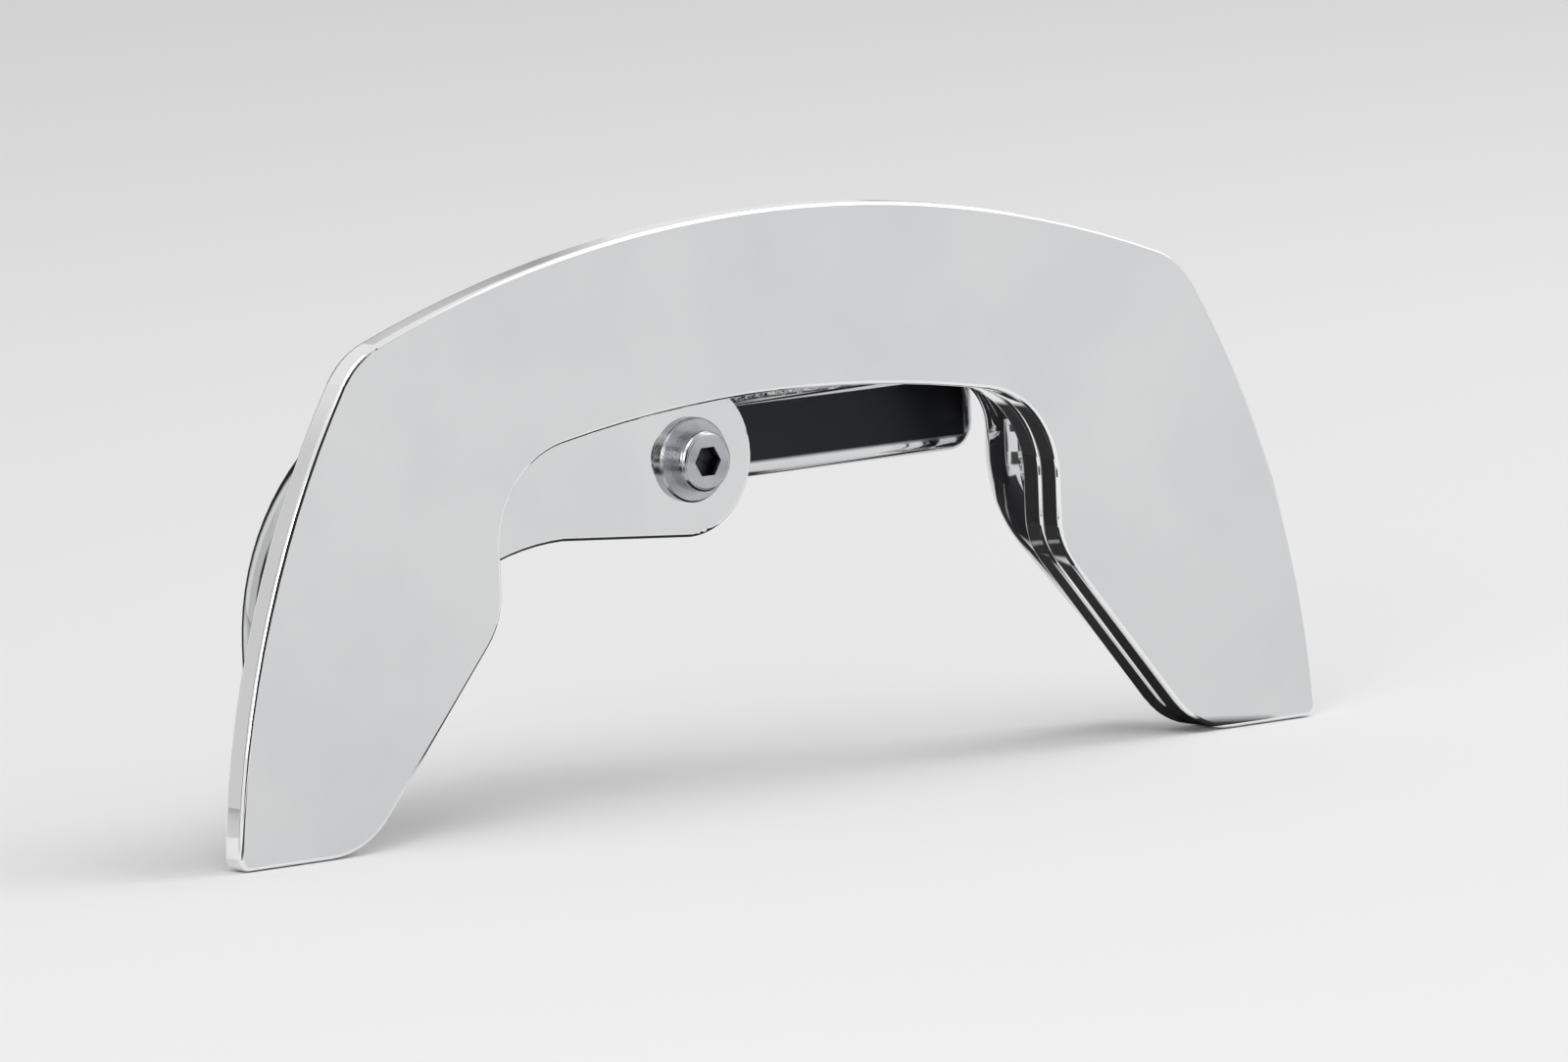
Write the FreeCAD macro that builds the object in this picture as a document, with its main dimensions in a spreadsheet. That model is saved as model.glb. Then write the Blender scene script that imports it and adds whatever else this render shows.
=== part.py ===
import FreeCAD, Part
import math
import os

import Sketcher

# Side carrier for a soft pannier, right-hand side, in millimetres.
# X points forward, Y inboard and Z up. The origin is midway between the two
# tapped bosses, on the plane where they meet the motorbike's strut.

SIZES = {
    # C-shaped plates, heights counted from the lug screw
    "plate_thick": 6.0,
    "back_thick": 6.0,
    "crown_rise": 51.8,
    "shoulder_half": 110.5,
    "shoulder_drop": 21.0,
    "side_bulge": 7.2,
    "foot_half": 144.6,
    "foot_depth": 72.4,
    "foot_width": 33.0,
    "inner_half": 74.5,
    "waist_depth": 28.0,
    "arch_rise": 12.8,
    "arch_drop": 9.0,
    "hook_lip": 10.0,
    "shoulder_round": 18.0,
    "foot_round": 2.5,
    "inner_foot_round": 20.0,
    "waist_round": 17.0,
    "arch_round": 21.0,
    "edge_round": 1.0,
    "bow_offset": 19.5,
    # lug on the back plate
    "lug_radius": 16.5,
    "lug_neck": 13.8,
    "lug_neck_reach": 34.0,
    "lug_flare_drop": 7.6,
    "lug_flare_round": 5.0,
    "lug_overlap": 8.0,
    "lug_drop": 6.0,
    # tack welds between the plates
    "tack_dia": 7.0,
    "tack_height": 3.0,
    "tack_pitch": 52.0,
    "weld_taper": 25.0,
    # bent tube
    "tube_od": 16.0,
    "tube_wall": 2.0,
    "weld_gap": 0.15,
    "rear_leg_inset": 27.1,
    "rear_end_lift": 10.4,
    "rear_bend": 45.0,
    "run_rise": 15.5,
    "front_leg_inset": 63.1,
    "front_bend": 20.0,
    "jog_bend": 25.0,
    "jog_angle": 43.0,
    "front_end_inset": 25.1,
    "front_end_lift": 13.0,
    # weld beads along the tube
    "bead_width": 6.0,
    "bead_length": 22.0,
    "bead_height": 2.8,
    "bead_offset": 6.4,
    "run_bead_pitch": 46.0,
    # tube plugs
    "plug_gap": 0.1,
    "plug_depth": 9.0,
    "plug_head": 2.4,
    # mount rail and bosses
    "rail_thick": 5.0,
    "rail_height": 30.0,
    "rail_rear": 70.0,
    "rail_front": 95.0,
    "rail_round": 6.0,
    "rail_edge": 2.2,
    "boss_spacing": 90.0,
    "boss_od": 18.0,
    "boss_length": 12.0,
    "boss_bore": 6.8,
    "boss_weld": 2.5,
    "edge_chamfer": 0.8,
    # lug screw, washer and standoff
    "screw_dia": 8.0,
    "screw_length": 20.0,
    "head_dia": 13.0,
    "head_height": 4.4,
    "head_flat": 10.6,
    "head_dome": 1.2,
    "head_rim": 3.2,
    "socket_flats": 6.0,
    "socket_depth": 2.6,
    "screw_gap": 0.25,
    "washer_od": 18.0,
    "washer_thick": 1.6,
    "washer_bevel": 0.4,
    "standoff_od": 12.0,
    "thread_gap": 0.1,
    "tip_room": 1.5,
}

# Closeness used to pick edges of a shape
SAME_PLACE = 0.01

doc = FreeCAD.newDocument("side_carrier")
sheet = doc.addObject("Spreadsheet::Sheet", "Sizes")
for row, (name, value) in enumerate(SIZES.items(), start=1):
    sheet.set(f"A{row}", name)
    sheet.set(f"B{row}", str(value))
    sheet.setAlias(f"B{row}", name)
doc.recompute()

# Places that follow from the sizes, as expressions
STANDOFF_LENGTH = "(Sizes.tube_od + 2 * Sizes.weld_gap)"
RAIL_FRONT_Y = "-(Sizes.boss_length + Sizes.rail_thick)"
TUBE_Y = f"({RAIL_FRONT_Y} - Sizes.weld_gap - Sizes.tube_od / 2)"
BACK_PLATE_Y = f"({RAIL_FRONT_Y} - {STANDOFF_LENGTH})"
FRONT_PLATE_Y = f"({BACK_PLATE_Y} - Sizes.back_thick)"
WASHER_Y = FRONT_PLATE_Y
SCREW_Y = f"({WASHER_Y} - Sizes.washer_thick)"
LUG_Z = "-Sizes.lug_drop"
TUBE_FACE = "(Sizes.tube_od / 2 + Sizes.weld_gap)"
SHOULDER_RISE = "(Sizes.crown_rise - Sizes.shoulder_drop)"
REAR_LEG_X = "(Sizes.bow_offset - Sizes.foot_half + Sizes.rear_leg_inset)"
REAR_END_Z = "(Sizes.rear_end_lift - Sizes.foot_depth)"
FRONT_LEG_X = "(Sizes.bow_offset + Sizes.foot_half - Sizes.front_leg_inset)"
FRONT_END_X = "(Sizes.bow_offset + Sizes.foot_half - Sizes.front_end_inset)"
FRONT_END_Z = "(Sizes.front_end_lift - Sizes.foot_depth)"


def worked_out(expression):
    """The number that an expression gives with the sheet's present sizes."""
    return float(sheet.evalExpression(expression))


def sagitta_radius(chord_squared, bulge):
    """Radius of the arc that stands out by the bulge from a chord."""
    return f"({chord_squared} / (8 * {bulge}) + {bulge} / 2)"


def origin_plane(body, role):
    """One of the body's own origin planes."""
    for feature in body.Origin.OriginFeatures:
        if feature.Role == role:
            return feature
    raise ValueError(role)


def new_body(label, place=("0", "0", "0")):
    """An empty body at a place given by three expressions."""
    body = doc.addObject("PartDesign::Body", label)
    body.Label = label
    for axis, expression in zip("xyz", place):
        body.setExpression(f".Placement.Base.{axis}", expression)
    return body


def new_sketch(body, name, role="XZ_Plane", offset="0"):
    """A sketch on an origin plane, moved along the plane's normal by the offset."""
    sketch = body.newObject("Sketcher::SketchObject", name)
    sketch.AttachmentSupport = [(origin_plane(body, role), "")]
    sketch.MapMode = "FlatFace"
    sketch.setExpression(".AttachmentOffset.Base.z", offset)
    return sketch


def dimension(sketch, kind, references, expression):
    """A driving dimension bound to an expression."""
    value = worked_out(expression)
    index = sketch.addConstraint(Sketcher.Constraint(kind, *references, value))
    sketch.setExpression(f"Constraints[{index}]", expression)


def pin_point(sketch, geometry, position, x, y):
    """Fix a point of the sketch at two coordinates, zero being the axis itself."""
    for kind, axis, expression in (("DistanceX", -2, x), ("DistanceY", -1, y)):
        if expression == "0":
            on_axis = Sketcher.Constraint("PointOnObject", geometry, position, axis)
            sketch.addConstraint(on_axis)
        else:
            dimension(sketch, kind, (-1, 1, geometry, position), expression)


def arc_between(start, end, radius, turn):
    """The shorter arc from start to end, turning left (1) or right (-1)."""
    chord = end - start
    left = FreeCAD.Vector(-chord.y, chord.x, 0).normalize()
    rise = math.sqrt(max(radius ** 2 - chord.Length ** 2 / 4, 0.0))
    centre = (start + end) * 0.5 + left * (turn * rise)
    first, last = (start, end) if turn > 0 else (end, start)
    angles = [math.atan2(p.y - centre.y, p.x - centre.x) for p in (first, last)]
    circle = Part.Circle(centre, FreeCAD.Vector(0, 0, 1), radius)
    return Part.ArcOfCircle(circle, *angles)


def draw_outline(sketch, corners, arcs=None):
    """Closed outline through the corners. An arc belongs to the corner it leaves."""
    arcs = arcs or {}
    points = [FreeCAD.Vector(worked_out(x), worked_out(y), 0) for x, y in corners]
    ends = []
    for index, point in enumerate(points):
        following = points[(index + 1) % len(points)]
        if index in arcs:
            radius, turn = arcs[index]
            curve = arc_between(point, following, worked_out(radius), turn)
            geometry = sketch.addGeometry(curve, False)
            ends.append((geometry, 1, 2) if turn > 0 else (geometry, 2, 1))
        else:
            geometry = sketch.addGeometry(Part.LineSegment(point, following), False)
            ends.append((geometry, 1, 2))
    for index, (geometry, start, _) in enumerate(ends):
        before, _, finish = ends[index - 1]
        joined = Sketcher.Constraint("Coincident", before, finish, geometry, start)
        sketch.addConstraint(joined)
        pin_point(sketch, geometry, start, *corners[index])
        if index in arcs:
            dimension(sketch, "Radius", (geometry,), arcs[index][0])


def draw_circle(sketch, x, y, diameter):
    """A circle at two coordinates."""
    centre = FreeCAD.Vector(worked_out(x), worked_out(y), 0)
    circle = Part.Circle(centre, FreeCAD.Vector(0, 0, 1), worked_out(diameter) / 2)
    geometry = sketch.addGeometry(circle, False)
    dimension(sketch, "Diameter", (geometry,), diameter)
    pin_point(sketch, geometry, 3, x, y)


def draw_bead(sketch, x, y, upright=False):
    """A round-ended weld bead about a centre, along X or upright."""
    half = "(Sizes.bead_length - Sizes.bead_width) / 2"
    radius = "Sizes.bead_width / 2"
    places = [(f"{x} - {half}", y), (f"{x} + {half}", y)]
    if upright:
        places = [(x, f"{y} - {half}"), (x, f"{y} + {half}")]
    near, far = [FreeCAD.Vector(worked_out(a), worked_out(b), 0) for a, b in places]
    along = math.atan2(far.y - near.y, far.x - near.x)
    side = FreeCAD.Vector(-math.sin(along), math.cos(along), 0) * worked_out(radius)
    rings = [Part.Circle(end, FreeCAD.Vector(0, 0, 1), side.Length) for end in (far, near)]
    quarter = math.pi / 2
    curves = [
        Part.LineSegment(near - side, far - side),
        Part.ArcOfCircle(rings[0], along - quarter, along + quarter),
        Part.LineSegment(far + side, near + side),
        Part.ArcOfCircle(rings[1], along + quarter, along + 3 * quarter),
    ]
    ring = [sketch.addGeometry(curve, False) for curve in curves]
    for before, after in zip(ring, ring[1:] + ring[:1]):
        sketch.addConstraint(Sketcher.Constraint("Tangent", before, 2, after, 1))
    for arc, place in ((ring[1], places[1]), (ring[3], places[0])):
        dimension(sketch, "Radius", (arc,), radius)
        pin_point(sketch, arc, 3, *place)


def pad(body, name, sketch, length, towards_inboard=False, taper=None):
    """Solid raised from a sketch on the XZ plane, outward unless told otherwise."""
    feature = body.newObject("PartDesign::Pad", name)
    feature.Profile = sketch
    feature.Reversed = towards_inboard
    feature.setExpression("Length", length)
    if taper:
        feature.setExpression("TaperAngle", taper)
    doc.recompute()
    return feature


def pocket(body, name, sketch, length, towards_outboard=False):
    """Cut made from a sketch on the XZ plane, inboard unless told otherwise."""
    volume = body.Shape.Volume
    feature = body.newObject("PartDesign::Pocket", name)
    feature.Profile = sketch
    feature.Reversed = towards_outboard
    feature.setExpression("Length", length)
    doc.recompute()
    if not body.Shape.Volume < volume:
        raise RuntimeError(f"{name} cuts nothing")
    return feature


def revolve(body, name, sketch):
    """Solid turned about the sketch's upright axis."""
    feature = body.newObject("PartDesign::Revolution", name)
    feature.Profile = sketch
    feature.ReferenceAxis = (sketch, ["V_Axis"])
    feature.Angle = 360.0
    doc.recompute()
    return feature


def mirror_halves(body, name, half):
    """The half and its mirror image across the body's YZ plane."""
    feature = body.newObject("PartDesign::Mirrored", name)
    feature.Originals = [half]
    feature.MirrorPlane = (origin_plane(body, "YZ_Plane"), [""])
    body.Tip = feature
    doc.recompute()
    return feature


def edges_through(shape, corners, both_sides):
    """Names of the straight edges along Y that stand at the given corners."""
    places = [(worked_out(x), worked_out(z)) for x, z in corners]
    if both_sides:
        places += [(-x, z) for x, z in places]
    names = []
    for index, edge in enumerate(shape.Edges, start=1):
        ends = [vertex.Point for vertex in edge.Vertexes]
        if len(ends) != 2:
            continue
        along = ends[1] - ends[0]
        if math.hypot(along.x, along.z) > SAME_PLACE:
            continue
        for x, z in places:
            if math.hypot(ends[0].x - x, ends[0].z - z) < SAME_PLACE:
                names.append(f"Edge{index}")
    return names


def round_corners(body, name, corners, radius, both_sides=True):
    """Fillet on the upright edges at the given corners."""
    base = body.Tip
    local_shape = base.Shape
    feature = body.newObject("PartDesign::Fillet", name)
    feature.Base = (base, edges_through(local_shape, corners, both_sides))
    feature.setExpression("Radius", radius)
    doc.recompute()
    return feature


def face_rim(shape, y):
    """Names of the edges of the flat face at a height along Y."""
    names = []
    for index, edge in enumerate(shape.Edges, start=1):
        box = edge.BoundBox
        if abs(box.YMin - y) < SAME_PLACE and abs(box.YMax - y) < SAME_PLACE:
            names.append(f"Edge{index}")
    return names


def round_rim(body, name, y, radius):
    """Fillet round all edges of the flat face at a height along Y."""
    base = body.Tip
    feature = body.newObject("PartDesign::Fillet", name)
    feature.Base = (base, face_rim(base.Shape, worked_out(y)))
    feature.setExpression("Radius", radius)
    doc.recompute()
    return feature


# Corners of one half of the C, from the crown round to the arch
CROWN = ("0", "Sizes.crown_rise")
SHOULDER = ("Sizes.shoulder_half", SHOULDER_RISE)
FOOT = ("Sizes.foot_half", "-Sizes.foot_depth")
INNER_FOOT = ("Sizes.foot_half - Sizes.foot_width", "-Sizes.foot_depth")
WAIST = ("Sizes.inner_half", "-Sizes.waist_depth")
ARCH_CORNER = ("Sizes.inner_half", "Sizes.arch_rise - Sizes.arch_drop")
ARCH = ("0", "Sizes.arch_rise")

ARCH_RADIUS = sagitta_radius("(2 * Sizes.inner_half)^2", "Sizes.arch_drop")
LUG_X = "-Sizes.bow_offset"


def half_outline(sketch, inset):
    """One half of the C, its outer edge set in by the inset."""
    outer = [
        (CROWN[0], f"{CROWN[1]} - {inset}"),
        (f"{SHOULDER[0]} - {inset}", f"{SHOULDER[1]} - {inset}"),
        (f"{FOOT[0]} - {inset}", FOOT[1]),
    ]
    shoulder_width = f"({SHOULDER[0]} - {inset})"
    crown = sagitta_radius(f"(2 * {shoulder_width})^2", "Sizes.shoulder_drop")
    side = sagitta_radius(
        f"((Sizes.foot_half - Sizes.shoulder_half)^2"
        f" + ({SHOULDER_RISE} - {inset} + Sizes.foot_depth)^2)",
        "Sizes.side_bulge",
    )
    corners = outer + [INNER_FOOT, WAIST, ARCH_CORNER, ARCH]
    draw_outline(sketch, corners, {0: (crown, -1), 1: (side, -1), 5: (ARCH_RADIUS, 1)})
    return outer


def make_front_plate():
    """Flat C that the bag slides onto."""
    body = new_body("front_plate", ("Sizes.bow_offset", FRONT_PLATE_Y, LUG_Z))
    sketch = new_sketch(body, "front_half")
    half_outline(sketch, "0")
    half = pad(body, "front_half_pad", sketch, "Sizes.plate_thick")
    mirror_halves(body, "front_halves", half)
    round_corners(body, "front_shoulders", [SHOULDER], "Sizes.shoulder_round")
    round_corners(body, "front_feet", [FOOT], "Sizes.foot_round")
    round_corners(body, "front_inner_feet", [INNER_FOOT], "Sizes.inner_foot_round")
    round_corners(body, "front_waists", [WAIST], "Sizes.waist_round")
    round_corners(body, "front_arch_corners", [ARCH_CORNER], "Sizes.arch_round")
    round_rim(body, "front_rim", "-Sizes.plate_thick", "Sizes.edge_round")
    round_rim(body, "front_inboard_rim", "0", "Sizes.edge_round")
    return body


def make_back_plate():
    """Second C, set in along the outer edge for the bag's hooks, with the lug."""
    body = new_body("back_plate", ("Sizes.bow_offset", BACK_PLATE_Y, LUG_Z))
    sketch = new_sketch(body, "back_half")
    outer = half_outline(sketch, "Sizes.hook_lip")
    half = pad(body, "back_half_pad", sketch, "Sizes.back_thick")
    mirror_halves(body, "back_halves", half)
    round_corners(body, "back_shoulders", [outer[1]], "Sizes.shoulder_round")
    round_corners(body, "back_feet", [outer[2]], "Sizes.foot_round")
    round_corners(body, "back_inner_feet", [INNER_FOOT], "Sizes.inner_foot_round")
    round_corners(body, "back_waists", [WAIST], "Sizes.waist_round")
    front_corner = [ARCH_CORNER]
    round_corners(body, "back_arch_corner", front_corner, "Sizes.arch_round", False)

    # The lug fills the rear corner of the opening, narrows to a neck and ends
    # round the screw
    lug = new_sketch(body, "lug_outline")
    web_rise = "Sizes.arch_rise + Sizes.lug_overlap"
    limb_side = "-Sizes.inner_half - Sizes.lug_overlap"
    neck_x = f"{LUG_X} - Sizes.lug_neck_reach"
    flare_run = f"({neck_x} - ({limb_side}))"
    flare_chord = f"(2 * {flare_run})^2"
    flare_radius = sagitta_radius(flare_chord, "Sizes.lug_flare_drop")
    draw_outline(
        lug,
        [
            (limb_side, "-Sizes.lug_neck - Sizes.lug_flare_drop"),
            (neck_x, "-Sizes.lug_neck"),
            (LUG_X, "-Sizes.lug_radius"),
            (f"{LUG_X} + Sizes.lug_radius", "0"),
            (LUG_X, "Sizes.lug_radius"),
            (LUG_X, web_rise),
            (limb_side, web_rise),
        ],
        {
            0: (flare_radius, -1),
            2: ("Sizes.lug_radius", 1),
            3: ("Sizes.lug_radius", 1),
        },
    )
    pad(body, "lug", lug, "Sizes.back_thick")
    limb_run = f"({neck_x} + Sizes.inner_half)"
    limb_sag = f"({flare_radius} - sqrt({flare_radius}^2 - {limb_run}^2))"
    flare_corner = ("-Sizes.inner_half", f"-Sizes.lug_neck - {limb_sag}")
    round_corners(body, "lug_flare", [flare_corner], "Sizes.lug_flare_round", False)
    round_rim(body, "back_rim", "-Sizes.back_thick", "Sizes.edge_round")
    round_rim(body, "back_inboard_rim", "0", "Sizes.edge_round")
    hole = new_sketch(body, "lug_hole_outline")
    draw_circle(hole, LUG_X, "0", "Sizes.screw_dia + 2 * Sizes.screw_gap")
    pocket(body, "lug_hole", hole, "Sizes.back_thick", towards_outboard=True)

    # Round tack welds on the set-in edge, standing on the front plate
    tacks = new_sketch(body, "tack_outlines", offset="Sizes.back_thick")
    crown = f"({SHOULDER[0]} - Sizes.hook_lip)"
    crown_radius = sagitta_radius(f"(2 * {crown})^2", "Sizes.shoulder_drop")
    for step in (-1, 0, 1):
        across = f"{step} * Sizes.tack_pitch"
        sag = f"({crown_radius} - sqrt({crown_radius}^2 - ({across})^2))"
        rise = f"Sizes.crown_rise - Sizes.hook_lip - {sag}"
        draw_circle(tacks, across if step else "0", rise, "Sizes.tack_dia")
    pad(body, "tacks", tacks, "Sizes.tack_height", True, "-Sizes.weld_taper")
    return body


# Slope of the front leg below its jog
JOG_TILT = "(Sizes.jog_angle - 90) * 1 deg"


def rounded_path(points, radii):
    """Straight runs and tangent arcs for a path with rounded corners."""
    pieces = []
    start = points[0]
    for before, corner, after, radius in zip(points, points[1:], points[2:], radii):
        inward = (before - corner).normalize()
        outward = (after - corner).normalize()
        turn = math.pi - inward.getAngle(outward)
        reach = radius * math.tan(turn / 2)
        enter = corner + inward * reach
        leave = corner + outward * reach
        pieces.append(Part.LineSegment(start, enter))
        left = (corner - before).cross(after - corner).z > 0
        pieces.append(arc_between(enter, leave, radius, 1 if left else -1))
        start = leave
    pieces.append(Part.LineSegment(start, points[-1]))
    return pieces


def draw_tube_path(sketch):
    """Centre line of the tube: rear leg, top run, front leg and its outward jog."""
    rear = worked_out(REAR_LEG_X)
    front = worked_out(FRONT_LEG_X)
    rise = worked_out("Sizes.run_rise")
    end_x = worked_out(FRONT_END_X)
    end_z = worked_out(FRONT_END_Z)
    jog = math.radians(worked_out("Sizes.jog_angle"))
    corner_z = end_z + (end_x - front) / math.tan(jog)
    corners = [
        FreeCAD.Vector(rear, worked_out(REAR_END_Z), 0),
        FreeCAD.Vector(rear, rise, 0),
        FreeCAD.Vector(front, rise, 0),
        FreeCAD.Vector(front, corner_z, 0),
        FreeCAD.Vector(end_x, end_z, 0),
    ]
    bends = ("Sizes.rear_bend", "Sizes.front_bend", "Sizes.jog_bend")
    radii = [worked_out(bend) for bend in bends]
    pieces = [sketch.addGeometry(g, False) for g in rounded_path(corners, radii)]
    leg, _, run, _, drop, _, foot = pieces

    turns_left = (False, False, True)
    for index, (bend, left) in enumerate(zip(bends, turns_left)):
        line, arc, following = pieces[2 * index: 2 * index + 3]
        enter, leave = (1, 2) if left else (2, 1)
        sketch.addConstraint(Sketcher.Constraint("Tangent", line, 2, arc, enter))
        sketch.addConstraint(Sketcher.Constraint("Tangent", arc, leave, following, 1))
        dimension(sketch, "Radius", (arc,), bend)
    sketch.addConstraint(Sketcher.Constraint("Vertical", leg))
    sketch.addConstraint(Sketcher.Constraint("Horizontal", run))
    sketch.addConstraint(Sketcher.Constraint("Vertical", drop))
    pin_point(sketch, leg, 1, REAR_LEG_X, REAR_END_Z)
    dimension(sketch, "DistanceY", (-1, 1, run, 1), "Sizes.run_rise")
    dimension(sketch, "DistanceX", (-1, 1, drop, 1), FRONT_LEG_X)
    pin_point(sketch, foot, 2, FRONT_END_X, FRONT_END_Z)
    tilt = sketch.addConstraint(Sketcher.Constraint("Angle", foot, jog - math.pi / 2))
    sketch.setExpression(f"Constraints[{tilt}]", JOG_TILT)


def make_bow_tube():
    """Round tube bent into a C, with the weld beads that hold it."""
    body = new_body("bow_tube", ("0", TUBE_Y, LUG_Z))
    path = new_sketch(body, "tube_path")
    draw_tube_path(path)
    section = new_sketch(body, "tube_section", "XY_Plane", REAR_END_Z)
    draw_circle(section, REAR_LEG_X, "0", "Sizes.tube_od")
    bore = "Sizes.tube_od - 2 * Sizes.tube_wall"
    draw_circle(section, REAR_LEG_X, "0", bore)
    doc.recompute()
    pipe = body.newObject("PartDesign::AdditivePipe", "tube")
    pipe.Profile = section
    pipe.Spine = (path, [f"Edge{index + 1}" for index in range(path.GeometryCount)])
    doc.recompute()

    # Beads on the plate side: along the top run and beside both legs
    over_run = "Sizes.run_rise + Sizes.bead_offset"
    plate_side = new_sketch(body, "plate_beads", offset=TUBE_FACE)
    for step in (-1, 0, 1):
        draw_bead(plate_side, f"{step} * Sizes.run_bead_pitch", over_run)
    beside_rear = f"{REAR_LEG_X} + Sizes.bead_offset"
    draw_bead(plate_side, beside_rear, f"{REAR_END_Z} + Sizes.bead_length", True)
    beside_front = f"{FRONT_LEG_X} + Sizes.bead_offset"
    draw_bead(plate_side, beside_front, "-Sizes.bead_width", True)
    pad(body, "plate_bead_pads", plate_side, "Sizes.bead_height", True, "-Sizes.weld_taper")

    # Beads on the rail side, under the top run
    under_run = "Sizes.run_rise - Sizes.bead_offset"
    rail_side = new_sketch(body, "rail_beads", offset=f"-{TUBE_FACE}")
    for step in (-1, 1):
        draw_bead(rail_side, f"{step} * Sizes.run_bead_pitch", under_run)
    pad(body, "rail_bead_pads", rail_side, "Sizes.bead_height", False, "-Sizes.weld_taper")
    return body


def make_plug(label, place, direction):
    """Domed plug pressed into a tube end, pointing out along the direction."""
    body = new_body(label, place)
    body.Placement.Rotation = FreeCAD.Rotation(FreeCAD.Vector(0, 1, 0), direction)
    shank = "(Sizes.tube_od / 2 - Sizes.tube_wall - Sizes.plug_gap)"
    rim = "(Sizes.tube_od / 2 - Sizes.plug_gap)"
    sketch = new_sketch(body, f"{label}_section", "XY_Plane")
    crown = f"({rim}^2 + Sizes.plug_head^2) / (2 * Sizes.plug_head)"
    draw_outline(
        sketch,
        [
            ("0", "-Sizes.plug_depth"),
            (f"{shank} - Sizes.edge_chamfer", "-Sizes.plug_depth"),
            (shank, "-Sizes.plug_depth + Sizes.edge_chamfer"),
            (shank, "0"),
            (rim, "0"),
            ("0", "Sizes.plug_head"),
        ],
        {4: (crown, 1)},
    )
    revolve(body, f"{label}_turned", sketch)
    return body


def make_mount_rail():
    """Flat bar welded across the back of the tube."""
    body = new_body("mount_rail", ("0", "-Sizes.boss_length", "0"))
    sketch = new_sketch(body, "rail_outline")
    top = "Sizes.rail_height / 2"
    corners = [
        ("-Sizes.rail_rear", f"-{top}"),
        ("Sizes.rail_front", f"-{top}"),
        ("Sizes.rail_front", top),
        ("-Sizes.rail_rear", top),
    ]
    draw_outline(sketch, corners)
    pad(body, "rail_pad", sketch, "Sizes.rail_thick")
    round_corners(body, "rail_corners", corners, "Sizes.rail_round", False)
    round_rim(body, "rail_front_rim", "-Sizes.rail_thick", "Sizes.rail_edge")
    round_rim(body, "rail_back_rim", "0", "Sizes.rail_edge")
    return body


def make_boss(label, side):
    """Tapped boss on the rail with its weld flare, ending on the strut plane."""
    body = new_body(label, (f"{side} * Sizes.boss_spacing / 2", "0", "0"))
    bore = "Sizes.boss_bore / 2"
    wall = "Sizes.boss_od / 2"
    foot = "-Sizes.boss_length"
    sketch = new_sketch(body, f"{label}_section", "XY_Plane")
    draw_outline(
        sketch,
        [
            (bore, foot),
            (f"{wall} + Sizes.boss_weld", foot),
            (wall, f"{foot} + Sizes.boss_weld"),
            (wall, "-Sizes.edge_chamfer"),
            (f"{wall} - Sizes.edge_chamfer", "0"),
            (bore, "0"),
        ],
        {1: ("Sizes.boss_weld", -1)},
    )
    revolve(body, f"{label}_turned", sketch)
    return body


def make_lug_screw():
    """Low-head screw with a hexagon socket, pointing inboard."""
    body = new_body("lug_screw", ("0", SCREW_Y, LUG_Z))
    sketch = new_sketch(body, "screw_section", "XY_Plane")
    shank = "Sizes.screw_dia / 2"
    rim = "Sizes.head_dia / 2"
    draw_outline(
        sketch,
        [
            ("0", "-Sizes.head_height"),
            ("Sizes.head_flat / 2", "-Sizes.head_height"),
            (rim, "-Sizes.head_rim"),
            (rim, "0"),
            (shank, "0"),
            (shank, "Sizes.screw_length - Sizes.edge_chamfer"),
            (f"{shank} - Sizes.edge_chamfer", "Sizes.screw_length"),
            ("0", "Sizes.screw_length"),
        ],
        {1: ("Sizes.head_dome", 1)},
    )
    revolve(body, "screw_turned", sketch)
    socket = new_sketch(body, "socket_outline", offset="Sizes.head_height")
    reach = "Sizes.socket_flats / sqrt(3)"
    corners = []
    for step in range(6):
        across = f"{reach} * cos({60 * step} deg)"
        rise = f"{reach} * sin({60 * step} deg)" if step % 3 else "0"
        corners.append((across, rise))
    draw_outline(socket, corners)
    pocket(body, "socket", socket, "Sizes.socket_depth")
    return body


def make_lug_washer():
    """Plain washer on the face of the lug."""
    body = new_body("lug_washer", ("0", WASHER_Y, LUG_Z))
    sketch = new_sketch(body, "washer_section", "XY_Plane")
    bore = "(Sizes.screw_dia / 2 + Sizes.screw_gap)"
    wall = "Sizes.washer_od / 2"
    bevel = "Sizes.washer_bevel"
    draw_outline(
        sketch,
        [
            (bore, "0"),
            (bore, "-Sizes.washer_thick"),
            (f"{wall} - {bevel}", "-Sizes.washer_thick"),
            (wall, f"-Sizes.washer_thick + {bevel}"),
            (wall, "0"),
        ],
    )
    revolve(body, "washer_turned", sketch)
    return body


def make_lug_standoff():
    """Tapped sleeve between the lug and the rail, closed at the rail."""
    body = new_body("lug_standoff", ("0", RAIL_FRONT_Y, LUG_Z))
    sketch = new_sketch(body, "standoff_section", "XY_Plane")
    bore = "(Sizes.screw_dia / 2 + Sizes.thread_gap)"
    wall = "Sizes.standoff_od / 2"
    mouth = f"-{STANDOFF_LENGTH}"
    stack = "(Sizes.washer_thick + Sizes.back_thick)"
    bottom = f"{mouth} + Sizes.screw_length - {stack} + Sizes.tip_room"
    draw_outline(
        sketch,
        [
            ("0", "0"),
            ("0", bottom),
            (bore, bottom),
            (bore, mouth),
            (f"{wall} - Sizes.edge_chamfer", mouth),
            (wall, f"{mouth} + Sizes.edge_chamfer"),
            (wall, "0"),
        ],
    )
    revolve(body, "standoff_turned", sketch)
    return body


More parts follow.
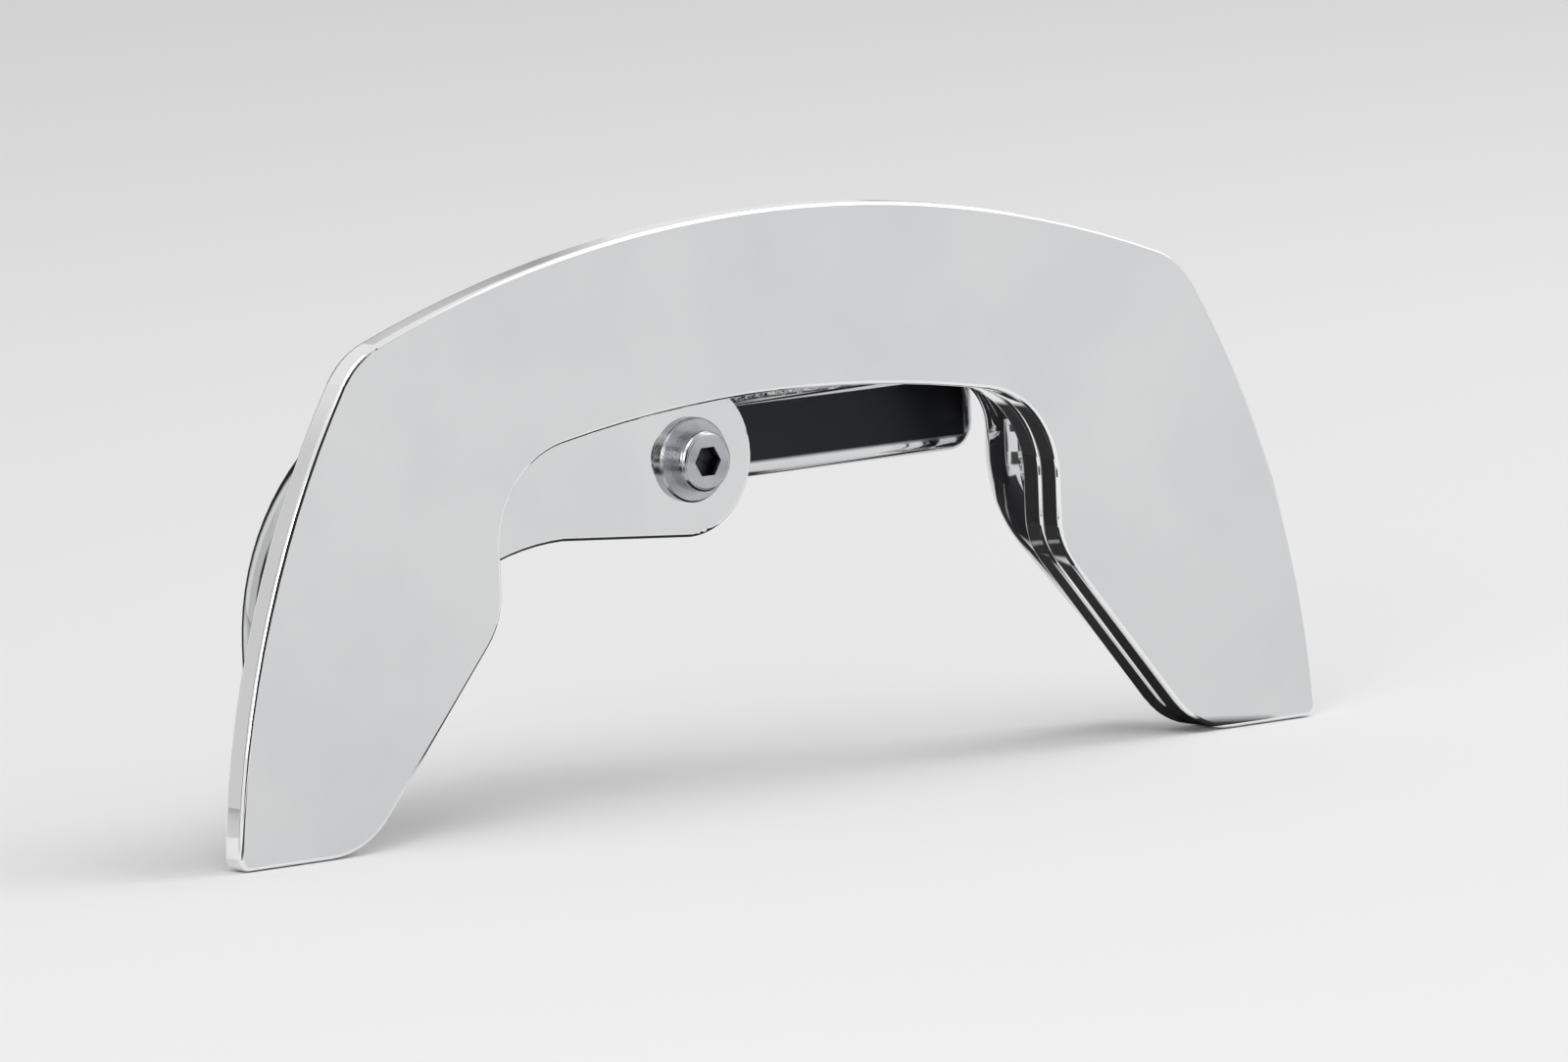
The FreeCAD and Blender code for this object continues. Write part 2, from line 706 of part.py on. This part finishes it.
JOG = math.radians(worked_out("Sizes.jog_angle"))
DOWN = FreeCAD.Vector(0, 0, -1)
DOWN_AND_FORWARD = FreeCAD.Vector(math.sin(JOG), 0, -math.cos(JOG))
REAR_END = (REAR_LEG_X, TUBE_Y, f"{LUG_Z} + {REAR_END_Z}")
FRONT_END = (FRONT_END_X, TUBE_Y, f"{LUG_Z} + {FRONT_END_Z}")

nodes = [
    make_front_plate(),
    make_back_plate(),
    make_bow_tube(),
    make_plug("rear_tube_plug", REAR_END, DOWN),
    make_plug("front_tube_plug", FRONT_END, DOWN_AND_FORWARD),
    make_mount_rail(),
    make_boss("rear_boss", -1),
    make_boss("front_boss", 1),
    make_lug_screw(),
    make_lug_washer(),
    make_lug_standoff(),
]
doc.recompute()

for item in doc.Objects:
    if "Invalid" in item.State or "Error" in item.State:
        raise RuntimeError(f"{item.Label}: {item.State}")
for node in nodes:
    if node.Shape.isNull() or not node.Shape.isValid():
        raise RuntimeError(f"{node.Label} has no valid shape")

os.makedirs("parts", exist_ok=True)
for node in nodes:
    node.Shape.exportStep(f"parts/{node.Label}.step")
    print(node.Label, len(node.Shape.Solids), round(node.Shape.Volume, 1))
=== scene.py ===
import math

import bpy
from mathutils import Matrix, Vector


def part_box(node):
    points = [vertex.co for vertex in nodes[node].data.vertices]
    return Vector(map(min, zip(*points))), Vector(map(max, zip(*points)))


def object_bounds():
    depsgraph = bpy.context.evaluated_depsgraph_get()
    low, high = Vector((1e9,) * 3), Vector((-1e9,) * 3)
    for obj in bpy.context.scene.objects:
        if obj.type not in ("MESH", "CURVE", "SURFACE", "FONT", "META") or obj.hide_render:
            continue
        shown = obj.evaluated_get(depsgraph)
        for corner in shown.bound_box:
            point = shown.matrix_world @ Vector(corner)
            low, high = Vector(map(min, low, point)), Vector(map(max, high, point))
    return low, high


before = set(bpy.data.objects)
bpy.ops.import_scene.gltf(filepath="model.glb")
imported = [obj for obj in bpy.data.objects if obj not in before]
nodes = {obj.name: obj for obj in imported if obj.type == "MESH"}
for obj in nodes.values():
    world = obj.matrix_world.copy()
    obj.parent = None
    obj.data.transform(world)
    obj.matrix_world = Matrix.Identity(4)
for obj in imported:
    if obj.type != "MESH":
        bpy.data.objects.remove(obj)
cad_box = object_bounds()

MM = 0.001
FULL_TURN = 2 * math.pi

# View of the photograph: direction to the camera, its roll and its distance
AZIMUTH = math.radians(-38.0)
ELEVATION = math.radians(7.2)
ROLL = math.radians(-2.05)
DISTANCE = 3.31
SENSOR_WIDTH = 36.0
LENS = 360.0

# Places on the part, from the frame
SCREW_LOW, SCREW_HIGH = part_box("lug_screw")
SCREW_X = (SCREW_LOW.x + SCREW_HIGH.x) / 2
SCREW_Z = (SCREW_LOW.z + SCREW_HIGH.z) / 2
TUBE_LOW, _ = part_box("bow_tube")
RAIL_LOW, RAIL_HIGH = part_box("mount_rail")
CENTRE = (cad_box[0] + cad_box[1]) / 2

# The floor lies just under the feet
FLOOR_GAP = 0.2 * MM
FLOOR_SIZE = (40.0, 40.0)
FLOOR_Z = cad_box[0].z - FLOOR_GAP

# Colours
CHROME_BRIGHT = (0.74, 0.745, 0.75, 1.0)
CHROME_HAZY = (0.69, 0.695, 0.705, 1.0)
# Painted highlight: brighter tint for the plates' rounded edges
CHROME_PAINTED_EDGE_HIGHLIGHT = (0.95, 0.95, 0.955, 1.0)
# Painted shade: dark tint for the rail's outboard face behind the tube
RAIL_PAINTED_SHADE = (0.03, 0.031, 0.035, 1.0)
BARE_STEEL = (0.33, 0.33, 0.335, 1.0)
ZINC_DARK = (0.42, 0.43, 0.45, 1.0)
ZINC_LIGHT = (0.55, 0.56, 0.58, 1.0)
# Painted shade: dark tint for the inside of the hexagon socket
SOCKET_PAINTED_SHADE = (0.04, 0.04, 0.045, 1.0)
PLASTIC_BLACK = (0.013, 0.013, 0.014, 1.0)
PLASTIC_SCUFFED = (0.03, 0.03, 0.032, 1.0)
FLOOR_DARKER = (0.85, 0.85, 0.85, 1.0)
FLOOR_LIGHTER = (0.87, 0.87, 0.87, 1.0)
CLOTH_DARKER = (0.012, 0.012, 0.014, 1.0)
CLOTH_LIGHTER = (0.02, 0.02, 0.022, 1.0)
WHITE = (1.0, 1.0, 1.0, 1.0)

# Roughness, from the smoothest to the dullest spots
PLATE_ROUGHNESS = (0.015, 0.06)
TUBE_ROUGHNESS = (0.02, 0.07)
RAIL_ROUGHNESS = (0.04, 0.12)
BOSS_ROUGHNESS = (0.05, 0.14)
ZINC_ROUGHNESS = (0.12, 0.26)
PLASTIC_ROUGHNESS = (0.42, 0.6)
RAIL_PAINTED_SHADE_ROUGHNESS = 0.38

# Depths of the relief that the materials draw
WAVE_DEPTH = 0.06 * MM
WELD_DEPTH = 0.4 * MM
THREAD_DEPTH = 0.5 * MM
TURNING_DEPTH = 0.015 * MM
GRAIN_DEPTH = 0.06 * MM

# Pitches of the thread and of the turning marks
THREAD_PITCH = 1.25 * MM
TURNING_PITCH = 0.35 * MM

# Stretches over which a material changes: the normal's share along Y, then depths and radii
FLAT_NORMAL = (0.97, 0.999)
BEAD_DEPTH = (2.2 * MM, 2.6 * MM)
RAIL_EDGE = (2.8 * MM, 3.6 * MM)
HOLE_RADIUS = (3.6 * MM, 3.9 * MM)
SOCKET_DEPTH = (0.2 * MM, 1.2 * MM)

# Colour sockets of Blender's Mix node
MIX_FIRST = 6
MIX_SECOND = 7
MIX_RESULT = 2


class Shader:
    """A material's node tree, with short ways to add and join nodes."""

    def __init__(self, name):
        self.material = bpy.data.materials.new(name)
        self.material.use_nodes = True
        self.tree = self.material.node_tree
        self.surface = self.tree.nodes["Principled BSDF"]
        self.coordinates = self.add("ShaderNodeTexCoord").outputs
        self.place = self.coordinates["Object"]
        self.x, self.y, self.z = self.split(self.place)

    def add(self, kind, **settings):
        """A new node with its settings."""
        node = self.tree.nodes.new(kind)
        for name, value in settings.items():
            setattr(node, name, value)
        return node

    def join(self, source, target):
        """Link a socket, or set a plain value, on an input."""
        if isinstance(source, bpy.types.NodeSocket):
            self.tree.links.new(source, target)
        else:
            target.default_value = source

    def set(self, **values):
        """Constant values on the surface shader, by socket name."""
        for name, value in values.items():
            self.surface.inputs[name.replace("_", " ")].default_value = value

    def drive(self, **sources):
        """Sources that vary over the surface, by the surface shader's socket name."""
        for name, source in sources.items():
            self.join(source, self.surface.inputs[name.replace("_", " ")])

    def split(self, vector):
        """The three parts of a vector."""
        node = self.add("ShaderNodeSeparateXYZ")
        self.join(vector, node.inputs[0])
        return node.outputs

    def math(self, operation, *values):
        """Result of one sum."""
        node = self.add("ShaderNodeMath", operation=operation)
        for value, socket in zip(values, node.inputs):
            self.join(value, socket)
        return node.outputs[0]

    def noise(self, scale, detail=4.0, stretch=(1.0, 1.0, 1.0)):
        """Noise in metres, stretched along the axes."""
        mapping = self.add("ShaderNodeMapping")
        mapping.inputs["Scale"].default_value = stretch
        self.join(self.place, mapping.inputs["Vector"])
        node = self.add("ShaderNodeTexNoise")
        node.inputs["Scale"].default_value = scale
        node.inputs["Detail"].default_value = detail
        self.join(mapping.outputs[0], node.inputs["Vector"])
        return node.outputs[0]

    def fit(self, value, low, high, to_low=0.0, to_high=1.0):
        """Value carried from one range to another and kept inside it."""
        node = self.add("ShaderNodeMapRange")
        for item, socket in zip((value, low, high, to_low, to_high), node.inputs):
            self.join(item, socket)
        return node.outputs[0]

    def blend(self, share, first, second):
        """Colour between two colours."""
        node = self.add("ShaderNodeMix", data_type="RGBA")
        self.join(share, node.inputs["Factor"])
        self.join(first, node.inputs[MIX_FIRST])
        self.join(second, node.inputs[MIX_SECOND])
        return node.outputs[MIX_RESULT]

    def bump(self, height, depth, under=None):
        """Bump of a depth in metres, on top of another bump."""
        node = self.add("ShaderNodeBump")
        node.inputs["Distance"].default_value = depth
        self.join(height, node.inputs["Height"])
        if under:
            self.join(under, node.inputs["Normal"])
        return node.outputs[0]

    def distance_from(self, x, z):
        """Distance from a line along Y, with its parts across and up."""
        across = self.math("SUBTRACT", self.x, x)
        rise = self.math("SUBTRACT", self.z, z)
        squares = [self.math("MULTIPLY", part, part) for part in (across, rise)]
        return self.math("SQRT", self.math("ADD", *squares)), across, rise

    def in_hole(self, distance):
        """One within a hole's radius of its middle line, nothing outside."""
        full, none = HOLE_RADIUS
        return self.fit(distance, none, full)

    def normal_y(self):
        """The normal's share along Y, before any bump."""
        return self.split(self.add("ShaderNodeNewGeometry").outputs["Normal"])[1]

    def flat(self):
        """One on faces square to Y, nothing on the rims around them."""
        return self.fit(self.math("ABSOLUTE", self.normal_y()), *FLAT_NORMAL)

    def facing_out(self):
        """One on faces square to -Y, nothing on faces turned away from it."""
        start, full = FLAT_NORMAL
        return self.fit(self.normal_y(), -start, -full)


def start_chrome(name, roughness):
    """Polished plating: faint haze, wiping marks and a slightly wavy surface."""
    chrome = Shader(name)
    chrome.set(Metallic=1.0)
    haze = chrome.fit(chrome.noise(scale=28.0, detail=5.0), low=0.35, high=0.7)
    wiped = chrome.noise(scale=420.0, detail=3.0, stretch=(0.12, 1.0, 1.0))
    chrome.tint = chrome.blend(haze, CHROME_BRIGHT, CHROME_HAZY)
    marks = chrome.math("MULTIPLY", haze, wiped)
    chrome.gloss = chrome.fit(marks, 0.0, 0.6, *roughness)
    chrome.relief = chrome.bump(chrome.noise(scale=22.0, detail=2.0), WAVE_DEPTH)
    return chrome


def end_chrome(chrome):
    """Join the plating's colour, roughness and relief to its surface."""
    chrome.drive(Base_Color=chrome.tint, Roughness=chrome.gloss, Normal=chrome.relief)
    return chrome.material


def plate_chrome(name):
    """Plating of the flat plates, with a painted highlight: a brighter tint on the rounded edges.
    """
    chrome = start_chrome(name, PLATE_ROUGHNESS)
    # Painted highlight: the rims around the flat faces get the brighter tint
    chrome.tint = chrome.blend(chrome.flat(), CHROME_PAINTED_EDGE_HIGHLIGHT, chrome.tint)
    return end_chrome(chrome)


def tube_chrome():
    """Plating of the tube, uneven on its weld beads."""
    chrome = start_chrome("tube_chrome", TUBE_ROUGHNESS)
    full, none = BEAD_DEPTH
    on_bead = chrome.fit(chrome.y, TUBE_LOW.y + none, TUBE_LOW.y + full)
    weld = chrome.math("MULTIPLY", on_bead, chrome.noise(scale=500.0, detail=3.0))
    chrome.relief = chrome.bump(weld, WELD_DEPTH, chrome.relief)
    return end_chrome(chrome)


def rail_chrome():
    """Plating of the rail, with painted shade: a dark tint and a duller finish inside a bright edge
    on the outboard face behind the tube.
    """
    chrome = start_chrome("rail_chrome", RAIL_ROUGHNESS)
    above_edge = chrome.math("SUBTRACT", chrome.z, RAIL_LOW.z)
    behind_end = chrome.math("SUBTRACT", RAIL_HIGH.x, chrome.x)
    off_edge = chrome.math("MINIMUM", above_edge, behind_end)
    # Painted shade: the outboard face, away from its lower edge and end, is tinted dark
    painted_shade = chrome.math("MULTIPLY", chrome.facing_out(), chrome.fit(off_edge, *RAIL_EDGE))
    chrome.tint = chrome.blend(painted_shade, chrome.tint, RAIL_PAINTED_SHADE)
    chrome.gloss = chrome.fit(painted_shade, 0.0, 1.0, chrome.gloss, RAIL_PAINTED_SHADE_ROUGHNESS)
    return end_chrome(chrome)


def boss_chrome(name, node):
    """Plating of a boss, with the bare thread of its bore."""
    chrome = start_chrome(name, BOSS_ROUGHNESS)
    low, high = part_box(node)
    reach, across, rise = chrome.distance_from((low.x + high.x) / 2, (low.z + high.z) / 2)
    in_bore = chrome.in_hole(reach)
    turn = chrome.math("ARCTAN2", rise, across)
    along = chrome.math("MULTIPLY", chrome.y, FULL_TURN / THREAD_PITCH)
    thread = chrome.math("SINE", chrome.math("ADD", along, turn))
    cut = chrome.math("MULTIPLY", thread, in_bore)
    chrome.relief = chrome.bump(cut, THREAD_DEPTH, chrome.relief)
    chrome.tint = chrome.blend(in_bore, chrome.tint, BARE_STEEL)
    return end_chrome(chrome)


def screw_steel(name):
    """Bright zinc, turned about the screw, with painted shade darkening the hexagon socket."""
    steel = Shader(name)
    steel.set(Metallic=1.0)
    reach, _, _ = steel.distance_from(SCREW_X, SCREW_Z)
    rings = steel.math("SINE", steel.math("MULTIPLY", reach, FULL_TURN / TURNING_PITCH))
    fleck = steel.noise(scale=700.0)
    tint = steel.blend(fleck, ZINC_DARK, ZINC_LIGHT)
    # Painted shade in the socket: darker with depth inside the hole's radius
    rim, deep = SOCKET_DEPTH
    sunk = steel.fit(steel.y, SCREW_LOW.y + rim, SCREW_LOW.y + deep)
    socket_shade = steel.math("MULTIPLY", sunk, steel.in_hole(reach))
    steel.drive(
        Base_Color=steel.blend(socket_shade, tint, SOCKET_PAINTED_SHADE),
        Roughness=steel.fit(fleck, 0.3, 0.7, *ZINC_ROUGHNESS),
        Normal=steel.bump(steel.math("ADD", rings, fleck), TURNING_DEPTH),
    )
    return steel.material


def plug_plastic():
    """Black moulded plastic with a fine grain."""
    plastic = Shader("plug_plastic")
    plastic.set(Metallic=0.0)
    grain = plastic.noise(scale=1400.0, detail=3.0)
    scuff = plastic.fit(plastic.noise(scale=180.0, detail=5.0), low=0.45, high=0.75)
    plastic.drive(
        Base_Color=plastic.blend(scuff, PLASTIC_BLACK, PLASTIC_SCUFFED),
        Roughness=plastic.fit(scuff, 0.0, 1.0, *PLASTIC_ROUGHNESS),
        Normal=plastic.bump(grain, GRAIN_DEPTH),
    )
    return plastic.material


def dress(node, material):
    """Give a CAD node its material."""
    mesh = nodes[node].data
    mesh.materials.clear()
    mesh.materials.append(material)


dress("front_plate", plate_chrome("front_plate_chrome"))
dress("back_plate", plate_chrome("back_plate_chrome"))
dress("lug_standoff", plate_chrome("standoff_chrome"))
dress("bow_tube", tube_chrome())
dress("mount_rail", rail_chrome())
for boss in ("rear_boss", "front_boss"):
    dress(boss, boss_chrome(f"{boss}_chrome", boss))
dress("lug_screw", screw_steel("screw_steel"))
dress("lug_washer", screw_steel("washer_steel"))
black = plug_plastic()
for plug in ("rear_tube_plug", "front_tube_plug"):
    dress(plug, black)


def square(name, size, place, material, turn=Matrix.Identity(4)):
    """A flat rectangle of the stage, facing +Z before it is turned."""
    half_x, half_y = size[0] / 2, size[1] / 2
    corners = [
        (-half_x, -half_y, 0.0),
        (half_x, -half_y, 0.0),
        (half_x, half_y, 0.0),
        (-half_x, half_y, 0.0),
    ]
    mesh = bpy.data.meshes.new(name)
    mesh.from_pydata(corners, [], [range(len(corners))])
    mesh.materials.append(material)
    item = bpy.data.objects.new(name, mesh)
    bpy.context.scene.collection.objects.link(item)
    item.matrix_world = Matrix.Translation(place) @ turn
    return item


def floor_material():
    """Plain pale floor without gloss, with the least unevenness of tone."""
    floor = Shader("pale_floor")
    floor.set(Roughness=0.85, Metallic=0.0, Specular_IOR_Level=0.0)
    tone = floor.noise(scale=1.5, detail=2.0)
    floor.drive(Base_Color=floor.blend(tone, FLOOR_DARKER, FLOOR_LIGHTER))
    return floor.material


square("floor", FLOOR_SIZE, (0, 0, FLOOR_Z), floor_material())


def flag_material(fade, density):
    """Black cloth of a studio flag, thinning out over a share of its sides."""
    cloth = Shader("flag_cloth")
    cloth.set(Roughness=1.0, Metallic=0.0)
    middle = 0.5
    shares = []
    for side in cloth.split(cloth.coordinates["Generated"])[:2]:
        off_middle = cloth.math("ABSOLUTE", cloth.math("SUBTRACT", side, middle))
        shares.append(cloth.fit(off_middle, middle, middle - fade, 0.0, density))
    cloth.drive(
        Base_Color=cloth.blend(cloth.noise(scale=60.0), CLOTH_DARKER, CLOTH_LIGHTER),
        Alpha=cloth.math("MULTIPLY", *shares),
    )
    return cloth.material


def flag(name, size, place, target, fade, spin=0.0, density=1.0):
    """A dark card that shows in the plating and not to the camera."""
    aim = Vector(target) - Vector(place)
    turn = aim.to_track_quat("Z", "Y").to_matrix().to_4x4() @ Matrix.Rotation(spin, 4, "Z")
    card = square(name, size, place, flag_material(fade, density), turn)
    card.visible_camera = False
    card.visible_diffuse = False
    card.visible_shadow = False


def floor_flag(name, size, place, fade, spin=0.0, lift=1.0 * MM):
    """A flag that lies on the floor, face up."""
    x, y = place
    above = FLOOR_Z + 1.0
    flag(name, size, (x, y, FLOOR_Z + lift), (x, y, above), fade, spin)


# Behind and under the opening: the dark bodywork in the front limb's inner edges and tube
flag("limb_flag", size=(0.2, 0.24), place=(-0.02, 0.1, 0.0), target=(-0.02, 0.0, 0.0), fade=0.15)
flag(
    "side_flag",
    size=(0.146, 0.074),
    place=(-0.012, 0.044, -0.053),
    target=(1.0, 0.044, -0.053),
    fade=0.1,
)
floor_flag("diagonal_flag", size=(0.11, 0.02), place=(0.116, -0.012), fade=0.1, spin=-0.93)
floor_flag("corner_flag", size=(0.152, 0.11), place=(0.046, 0.08), fade=0.08)
floor_flag("throat_flag", size=(0.137, 0.12), place=(0.023, -0.03), fade=0.06, lift=2.0 * MM)

# Behind the rear edge: a dark line in the tube's bend and a grey tone in the plates' edges
flag("tube_flag", size=(0.09, 0.3), place=(-0.36, 0.1, 0.03), target=(-0.1, -0.03, 0.03), fade=0.25)
flag(
    "edge_flag",
    size=(0.16, 0.36),
    place=(-0.265, 0.155, 0.02),
    target=(-0.125, -0.04, 0.0),
    fade=0.2,
    density=0.5,
)

# In front: the dark line along the rear rim, carried down to the foot by a card on the floor
flag(
    "line_flag",
    size=(0.91, 0.6),
    place=(-0.181, -0.697, 0.05),
    target=(-0.12, 0.0, 0.05),
    fade=0.08,
)
floor_flag("foot_flag", size=(0.2, 0.24), place=(-0.171, -0.199), fade=0.12, spin=0.35)


def softbox(name, place, size, power):
    """A square area lamp aimed at the part."""
    lamp = bpy.data.lights.new(name, "AREA")
    lamp.shape = "SQUARE"
    lamp.size = size
    lamp.energy = power
    item = bpy.data.objects.new(name, lamp)
    bpy.context.scene.collection.objects.link(item)
    item.location = place
    item.rotation_mode = "QUATERNION"
    item.rotation_quaternion = (CENTRE - Vector(place)).to_track_quat("-Z", "Y")


softbox("key", place=(-1.5, -1.9, 3.2), size=2.3, power=31.0)
softbox("fill", place=(2.4, -1.7, 2.2), size=2.4, power=13.0)
softbox("rim", place=(1.3, -0.3, 1.8), size=1.2, power=12.0)
softbox("strip", place=(-1.2, -0.9, 0.4), size=0.6, power=4.0)


def light_world(light, shown):
    """Even white world: one strength as light, another to the camera and in the plating."""
    world = bpy.data.worlds.new("studio")
    bpy.context.scene.world = world
    world.use_nodes = True
    tree = world.node_tree
    background = tree.nodes["Background"]
    background.inputs["Color"].default_value = WHITE
    paths = tree.nodes.new("ShaderNodeLightPath")
    seen = tree.nodes.new("ShaderNodeMath")
    seen.operation = "MAXIMUM"
    tree.links.new(paths.outputs["Is Camera Ray"], seen.inputs[0])
    tree.links.new(paths.outputs["Is Glossy Ray"], seen.inputs[1])
    level = tree.nodes.new("ShaderNodeMapRange")
    level.inputs["To Min"].default_value = light
    level.inputs["To Max"].default_value = shown
    tree.links.new(seen.outputs[0], level.inputs["Value"])
    tree.links.new(level.outputs[0], background.inputs["Strength"])


light_world(light=0.56, shown=0.8)


def place_camera():
    """Camera at the photograph's angle, with the part in the middle of the frame."""
    back = Vector((
        math.sin(AZIMUTH) * math.cos(ELEVATION),
        -math.cos(AZIMUTH) * math.cos(ELEVATION),
        math.sin(ELEVATION),
    ))
    level_right = Vector((math.cos(AZIMUTH), math.sin(AZIMUTH), 0.0))
    level_up = back.cross(level_right)
    right = level_right * math.cos(ROLL) + level_up * math.sin(ROLL)
    up = level_up * math.cos(ROLL) - level_right * math.sin(ROLL)
    points = [v.co for item in nodes.values() for v in item.data.vertices]
    target = Vector()
    for axis in (right, up, back):
        reach = [point.dot(axis) for point in points]
        target += axis * (min(reach) + max(reach)) / 2
    data = bpy.data.cameras.new("camera")
    data.sensor_width = SENSOR_WIDTH
    data.lens = LENS
    camera = bpy.data.objects.new("camera", data)
    bpy.context.scene.collection.objects.link(camera)
    turn = Matrix((right, up, back)).transposed().to_4x4()
    camera.matrix_world = Matrix.Translation(target + back * DISTANCE) @ turn
    bpy.context.scene.camera = camera


place_camera()
bpy.context.scene.view_settings.view_transform = "Standard"
